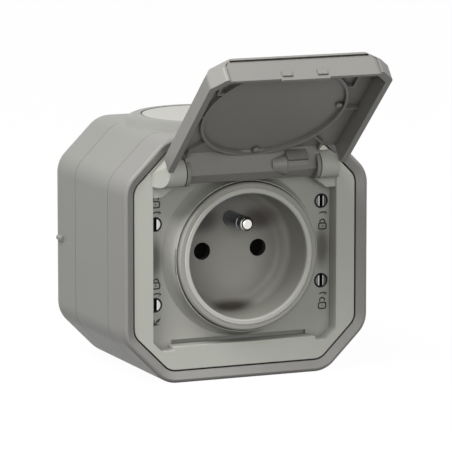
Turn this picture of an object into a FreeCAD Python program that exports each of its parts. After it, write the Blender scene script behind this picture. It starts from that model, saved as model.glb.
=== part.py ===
import FreeCAD, Part
import math
import os

# Outdoor weatherproof wall socket: a deep octagonal back box, a front cover whose face is the bezel,
# a light face plate with hinge lugs, a round socket mechanism with earth pin, and a hinged lid.
# Frame: the wall is the plane y = 0 and the front looks along -Y, with +Z up and +X to the right.
# The origin is the middle of the wall face. Sizes are in millimetres.

os.makedirs("parts", exist_ok=True)
V = FreeCAD.Vector

# Back box and front cover
body_width = 82.4
body_height = 77.0
corner_leg = 14.0
corner_radius = 9.0
box_depth = 48.0
box_wall = 2.5
back_wall = 2.5
rear_rounding = 5.0
side_line_depth = 20.0
side_line_size = 0.25
side_mark_height = 1.8
side_mark_length = 4.0
cover_depth = 14.0
cover_wall = 2.5
bezel_band = 3.5
bezel_dish = 1.4
bezel_rounding = 1.2
parting_gap = 0.2
parting_depth = 0.3
tongue_length = 2.5
tongue_thickness = 1.2
tongue_clearance = 0.15
body_gasket_width = 1.0
body_gasket_depth = 0.8

# Cable entry boss on top, and the soft membrane that closes it
entry_forward = 2.0
entry_boss_height = 2.0
entry_line_stop = 30.0
entry_levels = (
    (-1.9, 7.8, 1.4, 2.4), (-0.3, 6.8, 3.4, 2.6), (0.4, 6.0, 6.0, 2.8),
    (1.0, 5.4, 7.9, 3.0), (1.6, 4.4, 9.8, 3.4), (entry_boss_height, 3.0, 12.0, 4.2),
)
membrane_radius = 19.6
membrane_thickness = 1.8
membrane_clearance = 0.2
membrane_recess = 0.1
entry_hole_radius = 16.0
membrane_spigot_length = 3.0
membrane_spigot_wall = 1.5

# Wall fixing
fixing_spacing = 60.0
fixing_hole_radius = 2.3
fixing_pad_radius = 4.6
fixing_pad_height = 2.0
knockout_radius = 10.0
knockout_groove = 1.2

# Face plate
seam_gap = 0.5
plate_back_set = 1.5
plate_thickness = 2.5
ledge_width = 1.6
ledge_thickness = 1.6
ledge_clearance = 0.3
plate_gasket_thickness = 0.8
window_side_frame = 10.2
window_bottom_frame = 11.2
window_notch_drop = 1.2
window_notch_inner = 24.0
window_corner_leg = 3.0
window_wall = 1.0
window_floor_depth = 5.5
window_floor_thickness = 2.3
hook_slot_width = 1.2
hook_slot_depth = 1.2
collar_flare = 2.4
collar_set_back = 1.6
collar_clearance = 0.35
collar_lip = 0.3
collar_sag = 0.3
collar_top_cut = 5.0

# Hinge and lid
hinge_proud = 1.5
hinge_below_top = 10.7
lug_radius = 4.4
lug_width = 8.2
lug_facet = 3.0
lug_edge = 0.6
lug_root_height = 4.3
lug_root_foot = 8.0
lug_root_bends = ((2.6, 1.8), (5.0, 0.0))
lug_end_overrun = 0.5
hinge_gap = 0.3
hinge_pin_radius = 1.5
hinge_pin_length = 15.6
hinge_pin_play = 0.05
pin_seat_play = 0.02
lid_open_angle = 131.5
lid_side_clearance = 1.0
lid_end_clearance = 0.4
lid_corner_leg = 4.4
lid_front_leg = 5.1
lid_front = 5.2
lid_side_top = 1.8
lid_rim = 3.3
lid_bevel = 2.6
lid_end_bevel = 1.2
lid_wall = 2.0
lid_end_wall = 1.1
lid_skin = 2.0
lid_side_start = 5.6
lid_back_end = 3.8
knuckle_ring_width = 1.2
knuckle_radius = 4.4
beam_face = 2.5
beam_crease = 1.6
beam_slope_end = 5.8
beam_edge = 1.0
beam_back_points = ((1.2, 0.0), (3.4, 1.0), (4.0, 2.8), (4.9, 6.3))
beam_top_start = 4.5
lid_ring_radius = 23.5
lid_ring_set_back = 1.8
lid_ring_wall = 1.0
lid_rib_thickness = 0.8
lid_rib_set_back = 1.9
lid_rib_paths = (
    ((17.8, 13.3), (22.1, 9.0), (22.1, 5.2)),
    ((20.0, 39.2), (22.4, 39.2), (22.4, 53.0)),
    ((23.0, 27.3), (28.2, 27.3)),
)
finger_groove_level = 3.5
finger_groove_height = 0.8
finger_groove_depth = 1.6
finger_groove_half = 24.8
finger_groove_corner = 2.0
finger_recess_depth = 0.8
hook_offset = 5.8
hook_width = 3.2
hook_height = 1.8
hook_proud = 0.5
hook_rim_distance = 0.8
rim_tab_half = 8.0
rim_tab_height = 0.5
boss_start = 10.9
boss_end = 17.9
boss_tip = 6.4
boss_tip_radius = 2.2
boss_side = ((-2.6, -1.0), (-3.4, 0.4), (-3.4, 2.8), (-2.7, 4.4), (-1.5, 5.1), (-1.1, 4.9), (-1.0, 5.6),
             (2.6, 5.4), (2.6, 1.0))

# Socket cover: the round well that a plug goes into
well_mouth_radius = 19.9
well_floor_radius = 19.4
well_depth = 15.0
well_floor_thickness = 3.0
well_floor_fillet = 4.5
insert_radius = 23.3
insert_wall = 2.2
insert_proud = 1.0
insert_edge_rounding = 0.5
seal_width = 1.7
seal_depth = 1.2
seal_proud = 0.15
flange_radius = 25.2
flange_thickness = 1.8
insert_seal_thickness = 0.8
insert_seal_inner = 23.8
clip_thickness = 1.5
clip_width = 6.0
clip_reach = 1.2
clip_play = 0.2
clip_side_gap = 0.3
pin_spacing = 19.0
pin_hole_radius = 2.75
earth_offset = 10.0
earth_pin_radius = 2.4
earth_pin_length = 14.0
earth_tip_radius = 1.5
earth_groove_position = 3.0
earth_groove_width = 0.8
earth_groove_depth = 0.35

# Mechanism behind the well
base_radius = 21.0
base_flat = 18.5
base_depth = 21.0
base_wall = 1.6
shutter_space = 2.2
shutter_thickness = 1.4
shutter_half_width = 13.2
shutter_bottom = -4.0
shutter_top = 10.2
shutter_travel = 6.4
shutter_play = 0.3
shutter_window_half = 3.1
shutter_window_gap = 3.3
earth_slot_half = 3.0
spring_radius = 1.3
spring_wire = 0.35
spring_turns = 5
spring_end_bottom = -15.6
spring_boss_radius = 0.75
spring_boss_length = 2.0
shutter_heel = 1.0
contact_inner_radius = 2.45
contact_wall = 0.8
contact_length = 11.0
contact_slit = 0.9
contact_root = 3.0
strip_thickness = 1.0
strip_width = 4.6
terminal_size = 6.4
terminal_height = -11.5
earth_terminal_height = 15.0
wire_hole_radius = 1.7
terminal_screw_radius = 1.6
terminal_head_radius = 2.3
terminal_screw_length = 4.2
terminal_head_length = 1.8
terminal_gap = 0.4
screw_slot_half = 0.4
screw_slot_depth = 0.7
clamp_floor = 1.5
chamber_play = 0.4
base_screw_radius = 1.2
base_screw_head = 2.2
base_screw_x = 15.4
base_screw_z = 7.5
base_screw_head_length = 1.4

# Quarter-turn lock screws, placed in half-turn symmetry
lock_wall_distance = 2.8
lock_high = 14.7
lock_low = 10.7
lock_head_radius = 2.1
lock_head_length = 1.3
lock_slot_width = 1.1
lock_slot_depth = 0.8
lock_shank_radius = 1.3
lock_head_play = 0.25
lock_shank_play = 0.2
lock_seal_thickness = 0.8
lock_boss_radius = 3.3
lock_boss_height = 2.0
foot_half_length = 2.6
foot_width = 1.6
foot_thickness = 1.2
foot_play = 0.3
post_radius = 4.6
post_gap = 0.4
post_roof = 2.0
post_cavity_radius = 3.2
post_cavity_depth = 4.0
post_rib = 1.8

# How far pieces of one moulding run into each other before they are joined, and past a cut
join = 0.5
past = 1.0

# Places worked out from the sizes above
TURN_INSET = 2.0 - math.sqrt(2.0)
cover_front = -box_depth - cover_depth
entry_y = -box_depth / 2 - entry_forward
window_half_width = body_width / 2 - window_side_frame
window_bottom = -body_height / 2 + window_bottom_frame
hinge_height = body_height / 2 - hinge_below_top
lug_outer = window_half_width
lug_inner = lug_outer - lug_width
lid_half_width = window_half_width - lid_side_clearance
lid_length = hinge_height - window_bottom - lid_end_clearance
lock_x = window_half_width - lock_wall_distance
plate_front = cover_front + plate_back_set
window_floor = plate_front + window_floor_depth
window_back = window_floor + window_floor_thickness
hinge_y = cover_front - hinge_proud
insert_front = cover_front - insert_proud
well_floor = insert_front + well_depth
cover_back = well_floor + well_floor_thickness
base_back = cover_back + base_depth
gasket_front = plate_front + plate_thickness
ledge_front = gasket_front + plate_gasket_thickness
ledge_back = ledge_front + ledge_thickness
entry_top = body_height / 2 + entry_boss_height
collar_front = insert_front + collar_set_back
collar_radius = insert_radius + collar_clearance
seal_radius = well_mouth_radius + seal_width
spring_reach = spring_radius + spring_wire
spring_y = cover_back + shutter_play + spring_reach
lock_seal_front = window_floor + lock_head_length
lock_places = (
    ("lock_screw_upper_right", lock_x, lock_high),
    ("lock_screw_lower_right", lock_x, -lock_low),
    ("lock_screw_upper_left", -lock_x, lock_low),
    ("lock_screw_lower_left", -lock_x, -lock_high),
)


def save(name, shape):
    """Write one sub-part and print what it holds."""
    shape.exportStep("parts/" + name + ".step")
    print(name, "solids", len(shape.Solids), "valid", shape.isValid(), "volume", round(shape.Volume, 1))


def box(x_low, x_high, y_low, y_high, z_low, z_high):
    """A block between two corners."""
    return Part.makeBox(x_high - x_low, y_high - y_low, z_high - z_low, V(x_low, y_low, z_low))


def rod(x, z, radius, y_back, y_front):
    """A round bar along Y."""
    return Part.makeCylinder(radius, y_back - y_front, V(x, y_front, z), V(0, 1, 0))


def tube(x, z, outer, inner, y_back, y_front):
    """A round tube along Y."""
    return rod(x, z, outer, y_back, y_front).cut(rod(x, z, inner, y_back, y_front))


def turned(profile, arcs=()):
    """A solid turned about the Y axis from (radius, y) points; arcs gives (start index, middle) pairs."""
    points = [V(radius, y, 0) for radius, y in profile]
    middles = dict(arcs)
    edges = []
    for i in range(len(points)):
        end = points[(i + 1) % len(points)]
        if i in middles:
            edges.append(Part.Arc(points[i], V(middles[i][0], middles[i][1], 0), end).toShape())
        else:
            edges.append(Part.LineSegment(points[i], end).toShape())
    return Part.Face(Part.Wire(edges)).revolve(V(0, 0, 0), V(0, 1, 0), 360)


def rounded_wire(points, radii, y):
    """A closed (x, z) outline at depth y with each corner rounded by its own radius."""
    count = len(points)
    edges = []
    corners = []
    for i in range(count):
        corner = V(points[i][0], y, points[i][1])
        before = V(points[i - 1][0], y, points[i - 1][1])
        after = V(points[(i + 1) % count][0], y, points[(i + 1) % count][1])
        to_before = (before - corner).normalize()
        to_after = (after - corner).normalize()
        half_angle = to_before.getAngle(to_after) / 2
        reach = radii[i] / math.tan(half_angle)
        middle = (to_before + to_after).normalize()
        centre = corner + middle * (radii[i] / math.sin(half_angle))
        start = corner + to_before * reach
        end = corner + to_after * reach
        corners.append((start, centre - middle * radii[i], end))
    for i in range(count):
        start, crest, end = corners[i]
        if radii[i] > 0:
            edges.append(Part.Arc(start, crest, end).toShape())
        edges.append(Part.LineSegment(end, corners[(i + 1) % count][0]).toShape())
    return Part.Wire(edges)


def prism(points, radii, y_back, y_front):
    """A straight block along Y with a rounded outline."""
    wire = rounded_wire(points, radii, y_front)
    return Part.Face(wire).extrude(V(0, y_back - y_front, 0))


def octagon_points(half_width, half_height, leg):
    """The eight corners of a rectangle with cut corners."""
    w, h = half_width, half_height
    return [
        (w, -h + leg), (w, h - leg), (w - leg, h), (-w + leg, h),
        (-w, h - leg), (-w, -h + leg), (-w + leg, -h), (w - leg, -h),
    ]


def body_outline(inset):
    """The body's octagon moved inwards by one distance all round."""
    leg = corner_leg - inset * TURN_INSET
    points = octagon_points(body_width / 2 - inset, body_height / 2 - inset, leg)
    return points, [max(corner_radius - inset, 1.0)] * len(points)


def body_prism(inset, y_back, y_front):
    """The body's octagon as a block, moved inwards by the inset."""
    points, radii = body_outline(inset)
    return prism(points, radii, y_back, y_front)


def body_loft(inset_back, y_back, inset_front, y_front):
    """A tapered block between two octagons of the body."""
    wires = []
    for inset, y in ((inset_back, y_back), (inset_front, y_front)):
        points, radii = body_outline(inset)
        wires.append(rounded_wire(points, radii, y))
    return Part.makeLoft(wires, True, True)


def entry_wire(level):
    """One level oval of the entry boss: height above the box, margin beside the membrane, set backs."""
    height, margin, front_set_back, wall_set_back = level
    half_width = membrane_radius + margin
    front = cover_front + front_set_back
    back = -wall_set_back
    centre = V(0, (front + back) / 2, body_height / 2 + height)
    along = V(0, (back - front) / 2, 0)
    across = V(-half_width, 0, 0)
    longer, shorter = (along, across) if along.Length > across.Length else (across, along)
    oval = Part.Ellipse(centre + longer, centre + shorter, centre)
    return Part.Wire(oval.toShape())


def entry_boss(y_back, y_front):
    """The soft swelling round the cable entry, with a long slope to the front."""
    solid = Part.makeLoft([entry_wire(level) for level in entry_levels], True)
    return solid.common(box(-body_width, body_width, y_front, y_back, 0, 2 * body_height))


def upright(radius, z_low, z_high):
    """A round bar along Z on the cable entry's axis."""
    return Part.makeCylinder(radius, z_high - z_low, V(0, entry_y, z_low))


def lock_post(x, z):
    """A post of the back box with a keyhole roof that a quarter-turn foot hooks under."""
    roof_front = window_back + lock_boss_height + post_gap
    roof_back = roof_front + post_roof
    post = rod(x, z, post_radius, -back_wall / 2, roof_front)
    side = 1 if x > 0 else -1
    wall_x = side * (body_width / 2 - box_wall / 2)
    rib_front = -box_depth + tongue_length + post_gap
    rib = box(min(x, wall_x), max(x, wall_x), rib_front, -back_wall / 2,
              z - post_rib / 2, z + post_rib / 2)
    post = post.fuse(rib)
    cavity = rod(x, z, post_cavity_radius, roof_back + post_cavity_depth, roof_back)
    throat = rod(x, z, lock_shank_radius + lock_shank_play, roof_back, roof_front)
    half_slot = foot_width / 2 + foot_play
    slot = box(x - half_slot, x + half_slot, roof_front, roof_back,
               z - foot_half_length - foot_play, z + foot_half_length + foot_play)
    return post, cavity.fuse(throat).fuse(slot)


def back_box():
    """The deep box on the wall: cable boss, fixing holes, lock posts and the groove of the seal."""
    shell = body_prism(0, 0, -box_depth)
    rear_edges = [edge for edge in shell.Edges
                  if abs(edge.BoundBox.YMin) < 0.01 and abs(edge.BoundBox.YMax) < 0.01]
    shell = shell.makeFillet(rear_rounding, rear_edges)
    shell = shell.fuse(entry_boss(0, -box_depth))
    shell = shell.cut(body_prism(box_wall, -back_wall, -box_depth - past))
    line = body_prism(-1, -side_line_depth + side_line_size / 2, -side_line_depth - side_line_size / 2)
    line = line.cut(body_prism(side_line_size, -side_line_depth + past, -side_line_depth - past))
    line = line.cut(upright(entry_line_stop, body_height / 2 - 2 * side_line_size, body_height))
    shell = shell.cut(line)
    shell = shell.cut(upright(entry_hole_radius, body_height / 2 - 2 * box_wall, entry_top + past))
    seat = membrane_radius + membrane_clearance
    shell = shell.cut(upright(seat, entry_top - membrane_thickness - membrane_recess, entry_top + past))
    for side in (-1, 1):
        face = side * body_width / 2
        mark = rod(face, 0, side_mark_height / 2, -rear_rounding, -rear_rounding - side_mark_length)
        mark = mark.cut(box(-body_width / 2 + past, body_width / 2 - past, -box_depth, 0, -5, 5))
        shell = shell.fuse(mark)
    for z in (-fixing_spacing / 2, fixing_spacing / 2):
        shell = shell.fuse(rod(0, z, fixing_pad_radius, -back_wall / 2, -back_wall - fixing_pad_height))
    keyholes = []
    for _, x, z in lock_places:
        post, keyhole = lock_post(x, z)
        shell = shell.fuse(post)
        keyholes.append(keyhole)
    for keyhole in keyholes:
        shell = shell.cut(keyhole)
    for z in (-fixing_spacing / 2, fixing_spacing / 2):
        shell = shell.cut(rod(0, z, fixing_hole_radius, past, -back_wall - fixing_pad_height - past))
    knockout = tube(0, 0, knockout_radius, knockout_radius - knockout_groove, past, -knockout_groove)
    shell = shell.cut(knockout)
    groove_inset = (box_wall - body_gasket_width) / 2
    groove = body_prism(groove_inset, -box_depth + body_gasket_depth, -box_depth)
    groove = groove.cut(body_prism(groove_inset + body_gasket_width, -box_depth + past, -box_depth - past))
    return shell.cut(groove)


def body_gasket():
    """The cord of soft seal that fills the groove between box and cover."""
    inset = (box_wall - body_gasket_width) / 2
    ring = body_prism(inset, -box_depth + body_gasket_depth, -box_depth)
    return ring.cut(body_prism(inset + body_gasket_width, -box_depth + past, -box_depth - past))


def front_cover():
    """The front cover: its face is the bezel, dished towards the plate, with a ledge behind."""
    shell = body_prism(0, -box_depth, cover_front)
    front_edges = [edge for edge in shell.Edges
                   if abs(edge.BoundBox.YMin - cover_front) < 0.01
                   and abs(edge.BoundBox.YMax - cover_front) < 0.01]
    shell = shell.makeFillet(bezel_rounding, front_edges)
    dish = body_loft(bezel_band, cover_front + bezel_dish, bezel_rounding, cover_front)
    shell = shell.cut(dish)
    shell = shell.cut(body_prism(bezel_band, ledge_front, cover_front - past))
    ledge_inner = bezel_band + ledge_width
    shell = shell.cut(body_prism(ledge_inner, ledge_back, cover_front - past))
    shell = shell.cut(body_prism(cover_wall, -box_depth + past, ledge_back))
    tongue_inset = box_wall + tongue_clearance
    tongue = body_prism(tongue_inset, -box_depth + tongue_length, -box_depth - tongue_length)
    tongue = tongue.cut(body_prism(tongue_inset + tongue_thickness,
                                   -box_depth + tongue_length + past, -box_depth - tongue_length - past))
    shoulder = body_prism(cover_wall - join, -box_depth, -box_depth - tongue_length)
    shoulder = shoulder.cut(body_prism(tongue_inset + tongue_thickness,
                                       -box_depth + past, -box_depth - tongue_length - past))
    boss = entry_boss(-box_depth, cover_front + bezel_rounding)
    boss = boss.cut(body_prism(cover_wall / 2, -box_depth + past, cover_front - past))
    line = body_prism(-past, -box_depth, -box_depth - parting_gap)
    line = line.cut(body_prism(parting_depth, -box_depth + past, -box_depth - parting_gap - past))
    line = line.cut(upright(entry_line_stop, body_height / 2 - 2 * parting_depth, body_height))
    return shell.fuse(tongue).fuse(shoulder).fuse(boss).cut(line).removeSplitter()


def plate_gasket():
    """The black flat seal that shows in the seam between bezel and plate."""
    ring = body_prism(bezel_band + 0.05, ledge_front, gasket_front)
    return ring.cut(body_prism(bezel_band + ledge_width, ledge_front + past, gasket_front - past))


def body_corner_sum(inset):
    """What x and z add up to on a slanted side of the octagon moved inwards by the inset."""
    leg = corner_leg - inset * TURN_INSET
    return body_width / 2 + body_height / 2 - 2 * inset - leg


def window_outline():
    """The recess of the plate: straight sides, cut lower corners and a raised lower edge."""
    w = window_half_width
    low = window_bottom - window_notch_drop
    leg = window_corner_leg
    inner = window_notch_inner
    top = hinge_height + lug_root_height
    slant = body_corner_sum(bezel_band + ledge_width + ledge_clearance + window_wall)
    return [
        (w, low + leg), (w, slant - w), (slant - top, top), (-slant + top, top), (-w, slant - w),
        (-w, low + leg), (-w + leg, low),
        (-inner, low), (-inner, window_bottom), (inner, window_bottom), (inner, low), (w - leg, low),
    ]


def lug(side):
    """One hinge lug: a half-round bar on a root that stands in the window, with a slanted end."""
    inner = lug_inner
    outer = lug_outer + lug_end_overrun
    bar = Part.makeCylinder(lug_radius, outer - inner, V(inner, hinge_y, hinge_height), V(1, 0, 0))
    web = box(inner, outer, hinge_y, window_floor + join,
              hinge_height - lug_radius, hinge_height + lug_radius)
    shape = bar.fuse(web)
    facet_front = hinge_y - lug_radius
    facet = [
        V(outer, plate_front, 0), V(outer - lug_facet, facet_front, 0),
        V(outer, facet_front, 0),
    ]
    wedge = Part.Face(Part.makePolygon(facet + facet[:1])).extrude(V(0, 0, body_height))
    shape = shape.cut(wedge)
    root_front = hinge_y + lid_rim + hinge_gap
    foot = hinge_height - lug_root_foot
    top = hinge_height + lug_root_height
    root_points = [(outer, foot), (outer, top), (inner, top), (inner, hinge_height - lug_radius)]
    root_points += [(inner + along, foot + up) for along, up in lug_root_bends]
    root = prism(root_points, [0, 0, 0, 1.0, 1.5, 1.0], window_floor + join, root_front)
    tub = body_prism(bezel_band + ledge_width + ledge_clearance, window_back, plate_front)
    front = body_prism(bezel_band + seam_gap + lug_edge, plate_front, facet_front - past)
    shape = shape.fuse(root).common(tub.fuse(front))
    if side < 0:
        shape = shape.mirror(V(0, 0, 0), V(1, 0, 0))
    return shape


def face_plate():
    """The light plate: rim, window recess, flared collar round the well, hinge lugs and clips."""
    inset = bezel_band + seam_gap
    plate = body_prism(inset, gasket_front, plate_front)
    points = window_outline()
    radii = [1.0, 1.5, 1.5, 1.5, 1.5, 1.0, 1.0, 0.4, 0.4, 0.4, 0.4, 1.0]
    tub_inset = bezel_band + ledge_width + ledge_clearance
    tub = body_prism(tub_inset, window_back, plate_front + join)
    plate = plate.fuse(tub)
    window = prism(points, radii, window_floor, plate_front - past)
    plate = plate.cut(window)
    flare = collar_radius + collar_flare
    lip = collar_radius + collar_lip
    root = window_floor + past
    sag = V(lip + collar_sag * collar_flare, window_floor + collar_sag * (collar_front - window_floor), 0)
    collar_edges = [
        Part.LineSegment(V(collar_radius, root, 0), V(collar_radius, collar_front, 0)).toShape(),
        Part.LineSegment(V(collar_radius, collar_front, 0), V(lip, collar_front, 0)).toShape(),
        Part.Arc(V(lip, collar_front, 0), sag, V(flare, window_floor, 0)).toShape(),
        Part.LineSegment(V(flare, window_floor, 0), V(flare, root, 0)).toShape(),
        Part.LineSegment(V(flare, root, 0), V(collar_radius, root, 0)).toShape(),
    ]
    collar = Part.Face(Part.Wire(collar_edges)).revolve(V(0, 0, 0), V(0, 1, 0), 360)
    collar = collar.common(prism(points, radii, root + past, plate_front - collar_top_cut))
    plate = plate.fuse(collar)
    for side in (-1, 1):
        plate = plate.fuse(lug(side))
    slot_end = window_notch_inner - hook_slot_width
    hook_slot = box(-slot_end, slot_end, window_floor, window_floor + hook_slot_depth,
                    window_bottom - join, window_bottom + hook_slot_width)
    plate = plate.cut(hook_slot)
    plate = plate.cut(rod(0, 0, collar_radius, window_back + past, collar_front - past))
    flange_back = window_back + insert_seal_thickness + flange_thickness
    clip_back = flange_back + clip_play + clip_thickness
    clip_inner = flange_radius + clip_side_gap
    for quarter in range(4):
        clip = box(-clip_width / 2, clip_width / 2, window_back - join, clip_back,
                   clip_inner, clip_inner + clip_thickness)
        nose = box(-clip_width / 2, clip_width / 2, clip_back - clip_thickness, clip_back,
                   flange_radius - clip_reach, clip_inner + join)
        clip = clip.fuse(nose)
        clip.rotate(V(0, 0, 0), V(0, 1, 0), 45 + 90 * quarter)
        plate = plate.fuse(clip)
    for _, x, z in lock_places:
        plate = plate.fuse(rod(x, z, lock_boss_radius, window_back + lock_boss_height, window_back - join))
        seat = lock_head_radius + lock_head_play
        plate = plate.cut(rod(x, z, seat, lock_seal_front + lock_seal_thickness, window_floor - past))
        plate = plate.cut(rod(x, z, lock_shank_radius + lock_shank_play,
                              window_back + lock_boss_height + past, window_floor - past))
    for side in (-1, 1):
        seat = hinge_pin_radius + pin_seat_play
        start = lug_inner - 1
        reach = lug_outer - lug_facet - start
        bore = Part.makeCylinder(seat, reach, V(side * start, hinge_y, hinge_height), V(side, 0, 0))
        plate = plate.cut(bore)
    return plate.removeSplitter()


def hinge_pin(side):
    """A steel pin that stays in its lug and carries one end of the lid."""
    end = lug_outer - lug_facet - hinge_gap
    start = end - hinge_pin_length
    pin = Part.makeCylinder(hinge_pin_radius, hinge_pin_length,
                            V(side * start, hinge_y, hinge_height), V(side, 0, 0))
    return pin.makeChamfer(0.3, [edge for edge in pin.Edges if edge.Curve.TypeId == "Part::GeomCircle"])


def lid_wire(inset, end_inset, leg, y):
    """The lid's outline, drawn closed: sides, cut lower corners, and steps beside the hinge lugs."""
    w = lid_half_width - inset
    low = hinge_height - lid_length + end_inset
    shoulder = hinge_height - lid_side_start
    neck = lug_inner - hinge_gap
    top = hinge_height + join
    points = [(w, low + leg), (w, shoulder), (neck, shoulder), (neck, top),
              (-neck, top), (-neck, shoulder), (-w, shoulder), (-w, low + leg),
              (-w + leg, low), (w - leg, low)]
    return rounded_wire(points, [1.5, 0.8, 0, 0, 0, 0, 0.8, 1.5, 1.5, 1.5], y)


def lid_cavity():
    """The hollow of the lid, sloping up to the crease along the hinge beam."""
    w = lid_half_width - lid_wall
    low = hinge_height - lid_length + finger_recess_depth + lid_end_wall
    leg = lid_corner_leg - lid_wall * (1 - math.sqrt(0.5))
    shoulder = hinge_height - lid_side_start + past
    neck = lug_inner - hinge_gap - knuckle_ring_width
    crease = hinge_height - beam_crease
    floor = hinge_y - lid_front + lid_skin
    rim = hinge_y + lid_rim + rim_tab_height + 1
    points = [(w, low + leg), (w, shoulder), (neck, shoulder), (neck, crease),
              (-neck, crease), (-neck, shoulder), (-w, shoulder), (-w, low + leg),
              (-w + leg, low), (w - leg, low)]
    hollow = prism(points, [1, 1, 0, 0, 0, 0, 1, 1, 1, 1], rim, floor)
    slope = [
        V(0, rim, crease), V(0, hinge_y + beam_face, crease), V(0, floor, hinge_height - beam_slope_end),
        V(0, floor, low - 5), V(0, rim, low - 5),
    ]
    side_view = Part.Face(Part.makePolygon(slope + slope[:1])).extrude(V(2 * body_width, 0, 0))
    side_view.translate(V(-body_width, 0, 0))
    back_gap = box(-w, w, hinge_y - lid_front + lid_skin, rim, hinge_height - lid_side_start - past,
                   shoulder)
    back_gap = back_gap.cut(box(-neck - knuckle_ring_width, neck + knuckle_ring_width,
                                floor - past, rim + past, 0, body_height))
    return hollow.common(side_view).fuse(back_gap)


def lid_beam():
    """The bar between the knuckles, drawn in side view by (along the lid, outwards) points."""
    half = lug_inner - hinge_gap
    back = -lid_back_end
    outline = [(beam_crease, -beam_face), (back + beam_edge, -beam_face), (back, -beam_face + beam_edge)]
    outline += [(back + along, out) for out, along in beam_back_points]
    outline += [(beam_top_start, lid_front), (beam_slope_end, lid_front)]
    outline.append((beam_slope_end, lid_front - lid_skin))
    points = [V(-half, hinge_y - out, hinge_height - along) for along, out in outline]
    return Part.Face(Part.makePolygon(points + points[:1])).extrude(V(2 * half, 0, 0))


def lid_boss():
    """The swelling on the beam that takes the right hinge pin, tapered towards the middle."""
    outline = [V(boss_start, hinge_y - out, hinge_height - along) for out, along in boss_side]
    block = Part.Face(Part.makePolygon(outline + outline[:1])).extrude(V(boss_end - boss_start, 0, 0))
    crease = hinge_height - beam_crease
    tip = Part.makeCircle(boss_tip_radius, V(boss_tip, hinge_y, crease), V(1, 0, 0))
    foot_radius = beam_face + boss_tip_radius / 2
    foot = Part.makeCircle(foot_radius, V(boss_start + join, hinge_y, crease), V(1, 0, 0))
    return block.fuse(Part.makeLoft([Part.Wire(tip), Part.Wire(foot)], True))


def lid_rib(side, path):
    """One rib of the lid's hollow: thin walls along (across, along the lid) points, round at bends."""
    half = lid_rib_thickness / 2
    floor = hinge_y - lid_front + lid_skin - join
    crest = hinge_y - lid_rib_set_back
    points = [(side * across, hinge_height - along) for across, along in path]
    walls = [rod(x, z, half, crest, floor) for x, z in points[1:-1]]
    for (x, z), (next_x, next_z) in zip(points, points[1:]):
        wall = box(0, math.hypot(next_x - x, next_z - z), floor, crest, -half, half)
        wall.rotate(V(0, 0, 0), V(0, 1, 0), -math.degrees(math.atan2(next_z - z, next_x - x)))
        wall.translate(V(x, 0, z))
        walls.append(wall)
    return walls[0].multiFuse(walls[1:]) if len(walls) > 1 else walls[0]


def lid_closed():
    """The lid as it lies when shut: bevelled shell, seal ring, ribs, hooks, beam and knuckles."""
    front = hinge_y - lid_front
    rim = hinge_y + lid_rim
    side_wire = lid_wire(0, 0, lid_corner_leg, hinge_y - lid_side_top)
    front_wire = lid_wire(lid_bevel, lid_end_bevel, lid_front_leg, front)
    shell = Part.Face(side_wire).extrude(V(0, lid_rim + lid_side_top, 0))
    bevel = Part.makeLoft([side_wire, front_wire], True, True)
    shell = shell.fuse(bevel)
    low = hinge_height - lid_length
    end_face = low + finger_recess_depth
    tab = box(-rim_tab_half, rim_tab_half, hinge_y, rim + rim_tab_height, end_face, end_face + lid_end_wall)
    neck = lug_inner - hinge_gap
    shell = shell.cut(box(-neck, neck, front - past, rim + past, hinge_height - beam_slope_end + 0.2,
                          hinge_height + 10))
    cavity = lid_cavity()
    shell = shell.cut(cavity)
    groove_front = hinge_y - finger_groove_level - finger_groove_height
    groove_half = finger_groove_half - finger_groove_corner
    outline = [(finger_groove_half, rim + past), (finger_groove_half, groove_front + finger_groove_corner),
               (groove_half, groove_front), (-groove_half, groove_front),
               (-finger_groove_half, groove_front + finger_groove_corner), (-finger_groove_half, rim + past)]
    points = [V(x, y, low - past) for x, y in outline]
    recess = Part.Face(Part.makePolygon(points + points[:1])).extrude(V(0, 0, end_face - low + past))
    shell = shell.cut(recess).fuse(tab)
    shell = shell.fuse(lid_beam().cut(cavity)).fuse(lid_boss())
    ring_floor = hinge_y - lid_front + lid_skin - join
    ring_crest = hinge_y - lid_ring_set_back
    ring = tube(0, 0, lid_ring_radius, lid_ring_radius - lid_ring_wall, ring_crest, ring_floor)
    for side in (-1, 1):
        for path in lid_rib_paths:
            shell = shell.fuse(lid_rib(side, path))
    shell = shell.fuse(ring)
    for side in (-1, 1):
        start = side * (lug_inner - hinge_gap - knuckle_ring_width)
        knuckle = Part.makeCylinder(knuckle_radius, knuckle_ring_width,
                                    V(start, hinge_y, hinge_height), V(side, 0, 0))
        shell = shell.fuse(knuckle)
        hook = box(side * hook_offset - hook_width / 2, side * hook_offset + hook_width / 2,
                   rim - hook_rim_distance - hook_height, rim - hook_rim_distance,
                   end_face - hook_proud, end_face + lid_end_wall / 2)
        shell = shell.fuse(hook)
    groove = box(-groove_half, groove_half, groove_front, hinge_y - finger_groove_level,
                 low - past, low + finger_groove_depth)
    shell = shell.cut(groove).removeSplitter()
    bore_start = lug_outer - lug_facet - hinge_gap - hinge_pin_length - hinge_gap
    for side in (-1, 1):
        bore = Part.makeCylinder(hinge_pin_radius + hinge_pin_play, neck + 1 - bore_start,
                                 V(side * bore_start, hinge_y, hinge_height), V(side, 0, 0))
        shell = shell.cut(bore)
    return shell


def opened(shape):
    """Swing a piece of the lid from shut to the open place that it rests in."""
    shape.rotate(V(0, hinge_y, hinge_height), V(1, 0, 0), -lid_open_angle)
    return shape


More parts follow.
